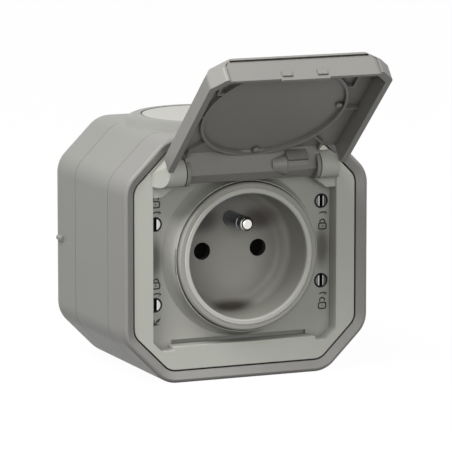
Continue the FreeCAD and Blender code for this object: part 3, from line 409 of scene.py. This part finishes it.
# The window is painted darker along the depth as shade, and the narrows get a patch of painted shade.
plate_abs = plastic("moulded_abs_plate", "#C6C7BE", "#CBCCC3", deep=("#B2B2AB", INTO_WALL, -60.0, -58.0),
                    corner_shade=0.55, marks=((painted_shade_narrows, "#55524D"),))
# Painted shade: the pin holes' walls go black along the depth, and the floor's edge and three patches get
# painted shade.
well_abs = plastic("moulded_abs_well", "#A8A79F", "#ACABA3", deep=("#060606", INTO_WALL, -47.95, -47.7),
                   corner_mm=5.0, corner_shade=0.75,
                   marks=((shaded_floor_edge, "#6E6C69"), (painted_shade_patches, "#2B2017")))
print("nodes in the well's shader", len(well_abs.node_tree.nodes))

# %% [markdown]
# ## Rubber
# The hidden seals are EPDM rubber, dull and nearly black, and the seals that show are a pale
# thermoplastic, a little glossier. Soft skin has shallow dimples of about 1.5 mm and no sharp grain.
# The round membrane on top is pressed into its seat, and the shade of that seam is painted as a thin
# dark ring between 0.45 and 0.2 mm inside its rim.

# %% Rubber
DIMPLE_MM, DIMPLE_DEPTH_MM = 1.5, 0.03
SEAM_SHADE_START, SEAM_SHADE_FULL = 0.45, 0.2


def rubber(name, colour, worn, gloss=0.75, rim=None):
    """Soft seal: a colour and its chalky drift by a noise of 1.5 mm, dull, with painted seam shade at its
    rim.
    """
    material, tree = new_finish(name)
    place = add_node(tree, "ShaderNodeTexCoord").outputs["Object"]
    dimple = add_node(tree, "ShaderNodeTexNoise",
                      {"Vector": place, "Scale": 1 / (DIMPLE_MM * MM), "Detail": 2.0})
    shade = add_node(tree, "ShaderNodeMix",
                     {0: dimple.outputs["Fac"], 6: linear(colour), 7: linear(worn)},
                     data_type="RGBA").outputs[2]
    # Painted shade: a dark ring just inside the rim, where the seam is.
    if rim:
        (centre_x, centre_y), radius_mm = rim
        level = add_node(tree, "ShaderNodeVectorMath", {0: place, 1: (1, 1, 0)},
                         operation="MULTIPLY").outputs[0]
        apart = add_node(tree, "ShaderNodeVectorMath", {0: level, 1: (centre_x * MM, centre_y * MM, 0)},
                         operation="DISTANCE").outputs["Value"]
        edge = add_node(tree, "ShaderNodeMapRange",
                        {0: apart, 1: (radius_mm - SEAM_SHADE_START) * MM, 2: (radius_mm - SEAM_SHADE_FULL) * MM,
                         3: 0.0, 4: 1.0})
        shade = add_node(tree, "ShaderNodeMix", {0: edge.outputs[0], 6: shade, 7: linear("#3A3A36")},
                         data_type="RGBA").outputs[2]
    bump = add_node(tree, "ShaderNodeBump",
                    {"Height": dimple.outputs["Fac"], "Distance": DIMPLE_DEPTH_MM * MM})
    skin = add_node(tree, "ShaderNodeBsdfPrincipled",
                    {"Base Color": shade, "Roughness": gloss, "Normal": bump.outputs[0], "IOR": 1.5})
    add_node(tree, "ShaderNodeOutputMaterial", {"Surface": skin.outputs[0]})
    return material


black_epdm = rubber("moulded_epdm_seal", "#232320", "#2A2A27")
pale_tpe = rubber("moulded_tpe_rim", "#CDCEC5", "#D2D2CA", gloss=0.55)
membrane_tpe = rubber("moulded_tpe_membrane", "#C9C8C2", "#C2C1BB", gloss=0.6, rim=((0, -26.0), 19.6))
print("nodes in the membrane's shader", len(membrane_tpe.node_tree.nodes))

# %% [markdown]
# ## Metal
# The screws inside and the hinge pins are zinc plated steel, the spring is drawn wire and the contacts
# are stamped brass. A metal has no colour of its own under a gloss, it tints what it mirrors, so its
# Metallic is 1 and the roughness does most of the work. Turned pieces keep faint rings of the lathe.
# A Wave texture of scale 1 turns through 20 radians in a metre, and the rings' scale is set by that.

# %% Metal
SMEAR_MM, WORN_EDGE_MM, RING_DEPTH_MM = 3, 0.12, 0.004
WAVE_RADIANS = 20


def metal(name, colour, dulled, gloss, ring_mm=0.0, deep=None, marks=()):
    """Metal: a colour that dulls by a slow noise or once along the depth, marks, and rings, which
    repeat every 2 pi times ring_mm."""
    material, tree = new_finish(name)
    place = add_node(tree, "ShaderNodeTexCoord").outputs["Object"]
    smear = add_node(tree, "ShaderNodeTexNoise",
                     {"Vector": place, "Scale": 1 / (SMEAR_MM * MM), "Detail": 4.0})
    turn = depth_blend(tree, INTO_WALL, *deep) if deep else smear.outputs["Fac"]
    shade = add_node(tree, "ShaderNodeMix", {0: turn, 6: linear(colour), 7: linear(dulled)},
                     data_type="RGBA").outputs[2]
    for mask, mark_colour in marks:
        shade = add_node(tree, "ShaderNodeMix", {0: mask(tree), 6: shade, 7: linear(mark_colour)},
                         data_type="RGBA").outputs[2]
    rough = add_node(tree, "ShaderNodeMapRange",
                     {0: smear.outputs["Fac"], 1: NOISE_LOW, 2: NOISE_HIGH,
                      3: gloss * 0.8, 4: gloss * 1.3})
    edge = add_node(tree, "ShaderNodeBevel", {"Radius": WORN_EDGE_MM * MM}, samples=6)
    normal = edge.outputs[0]
    if ring_mm:
        rings = add_node(tree, "ShaderNodeTexWave",
                         {"Vector": place, "Scale": 1 / (ring_mm * MM) / WAVE_RADIANS},
                         wave_type="BANDS", bands_direction="Y")
        normal = add_node(tree, "ShaderNodeBump",
                          {"Height": rings.outputs["Fac"], "Distance": RING_DEPTH_MM * MM,
                           "Normal": normal}).outputs[0]
    skin = add_node(tree, "ShaderNodeBsdfPrincipled",
                    {"Base Color": shade, "Metallic": 1.0, "Roughness": rough.outputs[0],
                     "Normal": normal})
    add_node(tree, "ShaderNodeOutputMaterial", {"Surface": skin.outputs[0]})
    return material


zinc_steel = metal("zinc_plated_steel", "#B9BBBB", "#A6A8A8", 0.32)
spring_steel = metal("drawn_spring_steel", "#8F9091", "#7F8081", 0.3)
sheet_brass = metal("stamped_sheet_brass", "#C9A35A", "#B48F4C", 0.3)
print("nodes in the brass shader", len(sheet_brass.node_tree.nodes))

# %% [markdown]
# ## The earth pin and the lock screws
# The earth pin is turned brass under nickel. Its flat tip is painted bright as a highlight, then comes
# a rounding painted dark as shade, a glint painted on its left just behind the tip, and a dulled shaft.
# The lock screws are die cast and zinc plated. Shade is painted as a dark rim round each head and
# black in the slot, and highlights are painted on the slot's two edges. The right pair is painted
# darker than the left, as a shaded copy of the same plating.

# %% The earth pin and the lock screws
TIP_RING, SHOULDER_BAND, SHOULDER_LEFT = (-61.74, 0.14), (-61.22, 0.38), (-1.60, 0.90)
LOCK_X, LOCK_LEVELS, HEAD_EDGE = 28.2, (14.7, 10.7), 1.75
SLOT_EDGE, HIGHLIGHT_HALF, SLOT_DEPTH = 0.70, 0.13, (-54.92, -54.75)


def painted_shade_tip_ring(tree):
    """The rounding of the earth pin's tip, painted dark as shade."""
    return within(tree, INTO_WALL, *TIP_RING)


def painted_glint_shoulder(tree):
    """The left side of the pin just behind its tip, painted bright as a glint."""
    band = within(tree, INTO_WALL, *SHOULDER_BAND)
    left = within(tree, SIDEWAYS, *SHOULDER_LEFT)
    return add_node(tree, "ShaderNodeMath", {0: band, 1: left}, operation="MULTIPLY").outputs[0]


def head_edge(tree):
    """1 past the head's edge: sqrt(x^2 + z^2) from the nearest screw, with left folded onto right."""
    place = add_node(tree, "ShaderNodeTexCoord").outputs["Object"]
    folded = add_node(tree, "ShaderNodeVectorMath", {0: place}, operation="ABSOLUTE").outputs[0]
    gaps = []
    for level in LOCK_LEVELS:
        gap = add_node(tree, "ShaderNodeVectorMath", {0: folded, 1: (LOCK_X * MM, 0, level * MM)},
                       operation="SUBTRACT").outputs[0]
        flat = add_node(tree, "ShaderNodeVectorMath", {0: gap, 1: (1, 0, 1)},
                        operation="MULTIPLY").outputs[0]
        gaps.append(add_node(tree, "ShaderNodeVectorMath", {0: flat}, operation="LENGTH").outputs["Value"])
    nearest = add_node(tree, "ShaderNodeMath", {0: gaps[0], 1: gaps[1]}, operation="MINIMUM").outputs[0]
    return add_node(tree, "ShaderNodeMath", {0: nearest, 1: HEAD_EDGE * MM},
                    operation="GREATER_THAN").outputs[0]


def slot_painted_highlights(tree):
    """The two edges of the slot, painted bright as highlights."""
    sides = [within(tree, SIDEWAYS, LOCK_X + way * SLOT_EDGE, HIGHLIGHT_HALF, both_sides=True) for way in (-1, 1)]
    return add_node(tree, "ShaderNodeMath", {0: sides[0], 1: sides[1]}, operation="MAXIMUM").outputs[0]


# Painted highlights on the slot's edges, and painted shade past the head's edge.
LOCK_MARKS = ((slot_painted_highlights, "#E0E0DE"), (head_edge, "#2C2C2B"))
# The pin's tip is painted bright as a highlight, its rounding dark as shade and its left shoulder bright
# as a glint.
pin_nickel = metal("turned_nickel_pin", "#E4E2DC", "#84878E", 0.18, ring_mm=0.4, deep=(-61.9, -61.8),
                   marks=((painted_shade_tip_ring, "#3A3B3E"), (painted_glint_shoulder, "#E4E2DC")))
# Both lock screw finishes paint the slot black along its depth as shade.
zinc_screw = metal("zinc_plated_lock_screw", "#C6C6C5", "#101010", 0.34, deep=SLOT_DEPTH,
                   marks=LOCK_MARKS)
# The right pair's finish is the left pair's painted darker, as a shaded copy.
shaded_lock_screw = metal("zinc_plated_shaded_lock_screw", "#6C6C6B", "#101010", 0.34, deep=SLOT_DEPTH,
                   marks=LOCK_MARKS)
print("marks on a lock screw", len(LOCK_MARKS))

# %% [markdown]
# ## Dress the solids
# A solid whose form is right stays as it is and only gets its finish. Each node is named with the
# material that its real piece is moulded, turned or stamped from. The four lock screws aren't in the
# list, because the right pair is painted darker as shade and the left pair isn't, which their names
# tell.

# %% Dress the solids
finish_of = {
    "back_box": box_abs, "front_cover": cover_abs, "face_plate": plate_abs, "lid": lid_abs,
    "socket_cover": well_abs, "mechanism_base": base_phenolic,
    "safety_shutter": guard_nylon, "body_gasket": black_epdm, "plate_gasket": black_epdm,
    "insert_seal": black_epdm, "lock_screw_seals": black_epdm, "rim_seal": pale_tpe,
    "entry_membrane": membrane_tpe, "earth_pin": pin_nickel, "hinge_pin_left": zinc_steel,
    "hinge_pin_right": zinc_steel, "terminal_screws": zinc_steel, "mechanism_screws": zinc_steel,
    "shutter_spring": spring_steel, "contact_neutral": sheet_brass, "contact_live": sheet_brass,
    "earth_terminal": sheet_brass,
}
for name, node in nodes.items():
    finish = finish_of.get(name, shaded_lock_screw if name.endswith("right") else zinc_screw)
    node.data.materials.clear()
    node.data.materials.append(finish)
print("dressed", len(nodes), "nodes;", len(nodes) - len(finish_of), "lock screws")

# %% [markdown]
# ## Lines of relief
# The signs in the window are part of the face plate's mould: lines a third of a millimetre wide that
# stand a little proud. They are drawn nearly half a millimetre wide, as coarse as they need to be to
# show. Such a line is a path on the window's floor that carries a small oval section. The section is
# half sunk in the floor, so what shows is a low round ridge, and at both ends of an open path it
# shrinks to a hair, which closes the ridge.

# %% Lines of relief
WINDOW_FLOOR, OVAL_SIDES, TAPER = -55.0, 10, 0.02


def grid_faces(rows, columns, wrap_rows):
    """Quads between neighbours of a grid whose columns wrap round, and whose rows may."""
    last = rows if wrap_rows else rows - 1
    row = np.arange(last)[:, None]
    column = np.arange(columns)[None, :]
    next_row = (row + 1) % rows
    next_column = (column + 1) % columns
    corners = (row * columns + column, row * columns + next_column,
               next_row * columns + next_column, next_row * columns + column)
    return np.stack(np.broadcast_arrays(*corners), axis=-1).reshape(-1, 4)


def relief_line(path, width, height, closed):
    """Carries an oval, width/2 cos(t) across and height sin(t) outwards, along (x, z) path points."""
    path = np.array(path, dtype=float)
    swell = np.ones(len(path))
    if closed:
        ahead = np.roll(path, -1, axis=0) - np.roll(path, 1, axis=0)
    else:
        ahead = np.gradient(path, axis=0)
        swell[[0, -1]] = TAPER
    ahead /= np.linalg.norm(ahead, axis=1, keepdims=True)
    across = np.stack([-ahead[:, 1], ahead[:, 0]], axis=1)
    turn = np.linspace(0, 2 * math.pi, OVAL_SIDES, endpoint=False)
    side = np.outer(swell, width / 2 * np.cos(turn))
    outwards = np.outer(swell, height * np.sin(turn))
    points = np.stack([path[:, :1] + across[:, :1] * side, WINDOW_FLOOR - outwards,
                       path[:, 1:] + across[:, 1:] * side], axis=-1).reshape(-1, 3)
    return points, grid_faces(len(path), len(turn), closed)


print("one short ridge has", len(relief_line([(0, 0), (1, 0), (2, 0)], 0.3, 0.1, False)[0]), "points")

# %% [markdown]
# ## Shapes of strokes
# A sign is a handful of strokes, and a stroke is a row of points in millimetres. Straight strokes are
# written down, but the body of a padlock is a square with round corners and its bow is an arch. Both
# come from a formula, so that their size and place can change without new points.

# %% Shapes of strokes
def rounded_square(centre, half_wide, half_tall, count=28):
    """Superellipse: x = a |cos t|^0.4 and z = b |sin t|^0.4, each with the sign of its own wave."""
    t = np.linspace(0, 2 * math.pi, count, endpoint=False) + 0.11
    wave = np.stack([np.cos(t), np.sin(t)], axis=1)
    return centre + np.sign(wave) * np.abs(wave) ** 0.4 * (half_wide, half_tall)


def arch(centre, radius, from_turn, to_turn, legs=(0.0, 0.0), count=14):
    """Part of a circle between two angles in degrees, with a straight leg down from each end."""
    t = np.radians(np.linspace(from_turn, to_turn, count))
    bow = centre + radius * np.stack([np.cos(t), np.sin(t)], axis=1)
    return np.concatenate([bow[:1] - (0, legs[0] + 0.01), bow, bow[-1:] - (0, legs[1] + 0.01)])


print("points in a rounded square", len(rounded_square(np.zeros(2), 1, 1)))

# %% [markdown]
# ## From parts to one piece
# The ridges of a sign belong together, as the ticks of a row do, so they become one mesh. Its points
# turn from millimetres into metres here, its faces are shaded smooth, and it is given its material.
# The object stays at the origin, because the place is in the points.

# %% From parts to one piece
def joined_mesh(name, parts, slot, material):
    """One mesh from several (points in mm, faces) parts; the slot argument is not used."""
    starts = np.cumsum([0] + [len(points) for points, _ in parts[:-1]])
    points = np.concatenate([points for points, _ in parts]) * MM
    faces = np.concatenate([faces + start for (_, faces), start in zip(parts, starts)])
    mesh = bpy.data.meshes.new(name)
    mesh.from_pydata(points.tolist(), [], faces.tolist())
    mesh.polygons.foreach_set("use_smooth", np.ones(len(faces), dtype=bool))
    mesh.materials.append(material)
    piece = bpy.data.objects.new(name, mesh)
    scene.collection.objects.link(piece)
    return piece


print("each piece is made by", joined_mesh.__name__)

# %% [markdown]
# ## The signs beside the lock screws
# A padlock and a small bent arrow tell which way a screw is turned. Right of the well they hang below
# the screws, and left of it they stand above, because each screw turns its own way. Each padlock is
# drawn from a rounded square, an arch and a stroke for its keyhole, and every stroke becomes one
# ridge. A bolder arrow in the lower left corner points out of the window.

# %% The signs beside the lock screws
STROKE_WIDTH, STROKE_HEIGHT = 0.46, 0.14
BOLD_WIDTH, BOLD_HEIGHT = 0.95, 0.16


def padlock(x, z, is_open):
    """Strokes of a padlock whose body is centred on (x, z); an open one has its bow lifted."""
    body = np.array((x, z))
    lifted = 0.75 if is_open else 0.35
    legs = (lifted - 0.35, lifted) if is_open else (lifted, lifted)
    return [(rounded_square(body, 1.25, 0.95), True),
            (arch(body + (0.0, 0.95 + lifted), 0.85, 0, 180, legs), False),
            (body + np.array([(0, 0.35), (0, 0.0), (0, -0.35)]), False)]


def bent_arrow(x, z):
    """A shallow bow with a two-stroke head at its right end."""
    tip = np.array((x + 1.3, z - 0.1))
    bow = np.array((x, z)) + [(-1.4, -0.25), (-0.9, 0.05), (-0.2, 0.2), (0.5, 0.15), (1.3, -0.1)]
    return [(bow, False), (tip + [(-0.75, 0.95), (0, 0), (-1.0, -0.75)], False)]


SIGNS = {
    "sign_upper_right": padlock(28.66, 6.65, False) + bent_arrow(28.76, 10.9),
    "sign_lower_right": padlock(28.66, -18.8, True) + bent_arrow(28.76, -14.9),
    "sign_upper_left": padlock(-27.9, 16.9, True) + bent_arrow(-27.6, 14.35),
    "sign_lower_left": padlock(-27.9, -8.6, False) + bent_arrow(-27.6, -11.3),
}
OUTWARD_ARROW = [([(-26.3, -18.7), (-27.3, -19.7), (-28.4, -20.8)], False),
                 ([(-28.6, -19.0), (-28.5, -20.9), (-26.6, -20.9)], False)]
# The ridges are the plate's own plastic; their near-black colour is painted shade that makes the relief
# show.
relief_painted_shade = plastic("moulded_abs_relief_painted_shade", "#2C2C29", "#333330", edge_mm=0.05)
for name, strokes in SIGNS.items():
    ridges = [relief_line(path, STROKE_WIDTH, STROKE_HEIGHT, closed) for path, closed in strokes]
    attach(joined_mesh(name, ridges, "plate_grey", relief_painted_shade), "housing")
bold = [relief_line(path, BOLD_WIDTH, BOLD_HEIGHT, closed) for path, closed in OUTWARD_ARROW]
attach(joined_mesh("sign_outward_arrow", bold, "plate_grey", relief_painted_shade), "housing")
print("signs", len(SIGNS) + 1)

# %% [markdown]
# ## Tick marks on the collar
# A short row of tiny ribs crosses the left of the collar's lip, where the fitter checks how the insert
# is turned. Each rib runs along the depth, lies half sunk in the collar's outer wall and tapers off at
# both ends, so all of them are one oval section carried along straight lines. The real ribs are finer
# and closer, and are drawn here as coarse as they need to be to show.

# %% Tick marks on the collar
TICKS, TICK_PITCH, TICK_WIDTH, TICK_HEIGHT = 11, 0.74, 0.30, 0.16
LIP_RADIUS, LIP_FRONT, TICK_BACK = 23.92, -61.5, -60.4
TICK_SHIFT = 0.4


def tick_mark(turn):
    """An oval along Y at a turn about the well: (r + h sin t) outwards and w/2 cos t round the ring."""
    along = np.linspace(LIP_FRONT, TICK_BACK, 6)
    swell = np.array([TAPER, 1, 1, 1, 0.7, TAPER])
    t = np.linspace(0, 2 * math.pi, 8, endpoint=False)
    out = LIP_RADIUS + TICK_HEIGHT * np.outer(swell, np.sin(t))
    round_ring = TICK_WIDTH / 2 * np.outer(swell, np.cos(t))
    points = np.stack([out * math.cos(turn) - round_ring * math.sin(turn),
                       np.repeat(along[:, None], len(t), axis=1),
                       out * math.sin(turn) + round_ring * math.cos(turn)], axis=-1).reshape(-1, 3)
    return points, grid_faces(len(along), len(t), False)


tick_turns = math.pi + (np.arange(TICKS) - (TICKS - 1) / 2 + TICK_SHIFT) * TICK_PITCH / LIP_RADIUS
# The ribs share the signs' finish, painted near black as their shade.
ticks = joined_mesh("collar_ticks", [tick_mark(turn) for turn in tick_turns], "plate_grey", relief_painted_shade)
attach(ticks, "housing")
print("ticks", TICKS, "over", round((TICKS - 1) * TICK_PITCH, 2), "mm")

# %% [markdown]
# ## Ejector pegs inside the lid
# Two stubby pegs stand against the inside of the lid's sealing ring, where ejector pins of the tool
# pushed the hot lid out. A peg is a profile turned about its own axis. It is worked out as if the lid
# were shut, and then swung up with the lid about the hinge. Its ends shrink to a pole of a thousandth
# of a millimetre, which closes them.

# %% Ejector pegs inside the lid
PEG_RING, PEG_TURNS, PEG_SIDES = 21.3, (-3, 88), 24
PEG_RADIUS, PEG_ROUND, PEG_FOOT, PEG_TOP = 1.1, 0.25, -67.0, -65.6
POLE = 0.001


def swung_open(points):
    """Turns shut-lid points about the hinge: y' = y cos a + z sin a, z' = z cos a - y sin a."""
    a = OPEN_ANGLE
    flat = points - HINGE
    y = flat[:, 1] * math.cos(a) + flat[:, 2] * math.sin(a)
    z = flat[:, 2] * math.cos(a) - flat[:, 1] * math.sin(a)
    return np.stack([flat[:, 0], y, z], axis=1) + HINGE


def peg(x, z):
    """A short round bar along Y: a radius per row of its profile, closed to a point at both ends."""
    bow = np.linspace(0, math.pi / 2, 4)
    brim = PEG_RADIUS - PEG_ROUND + PEG_ROUND * np.cos(bow)
    crown = PEG_TOP - PEG_ROUND + PEG_ROUND * np.sin(bow)
    rings = np.concatenate([[POLE, PEG_RADIUS], brim, [POLE]])
    depths = np.concatenate([[PEG_FOOT, PEG_FOOT], crown, [PEG_TOP]])
    turn = np.linspace(0, 2 * math.pi, PEG_SIDES, endpoint=False)
    points = np.stack([x + np.outer(rings, np.cos(turn)), np.repeat(depths[:, None], len(turn), axis=1),
                       z + np.outer(rings, np.sin(turn))], axis=-1).reshape(-1, 3)
    return swung_open(points), grid_faces(len(rings), len(turn), False)[:, ::-1]


pegs = [peg(PEG_RING * math.cos(t), PEG_RING * math.sin(t)) for t in np.radians(PEG_TURNS)]
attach(joined_mesh("lid_ejector_pegs", pegs, "lid_grey", lid_abs), "lid")
print("pegs", len(pegs))

# %% [markdown]
# ## The guard's spring
# A coil of spring wire pushes the guard behind the pin holes back up after a plug's pins have pushed
# it down. Its wire is a circle carried along a helix, which keeps its round section because the circle
# leans with the helix.

# %% The guard's spring
COIL_RADIUS, WIRE_RADIUS, COIL_TURNS, COIL_Y = 1.3, 0.35, 5, -43.05
COIL_LOW, COIL_HIGH, GUARD_TRAVEL = -15.6, -5.014, 6.4
STEPS_A_TURN, WIRE_SIDES = 36, 12


def coil_spring():
    """Helix R cos s, R sin s, k s, plus w cos t outwards and w sin t along (k sin s, -k cos s, R)/L."""
    s = np.linspace(0, COIL_TURNS * 2 * math.pi, COIL_TURNS * STEPS_A_TURN + 1)
    s = np.concatenate([s[:1], s, s[-1:]])
    wire = np.full(len(s), WIRE_RADIUS)
    wire[[0, -1]] = POLE
    k = (COIL_HIGH - COIL_LOW - 2 * WIRE_RADIUS) / s[-1]
    length = math.hypot(k, COIL_RADIUS)
    t = np.linspace(0, 2 * math.pi, WIRE_SIDES, endpoint=False)
    out = COIL_RADIUS + np.outer(wire, np.cos(t))
    lean = np.outer(wire, np.sin(t)) / length
    wave, rise = np.sin(s)[:, None], np.cos(s)[:, None]
    points = np.stack([out * rise + lean * k * wave, COIL_Y + out * wave - lean * k * rise,
                       COIL_LOW + WIRE_RADIUS + k * s[:, None] + lean * COIL_RADIUS], axis=-1)
    points = points.reshape(-1, 3)
    return points, grid_faces(len(s), len(t), False)[:, ::-1]


coil = joined_mesh("guard_coil_spring", [coil_spring()], "spring_steel", spring_steel)
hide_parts("shutter_spring")
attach(coil, "housing")
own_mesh(coil)
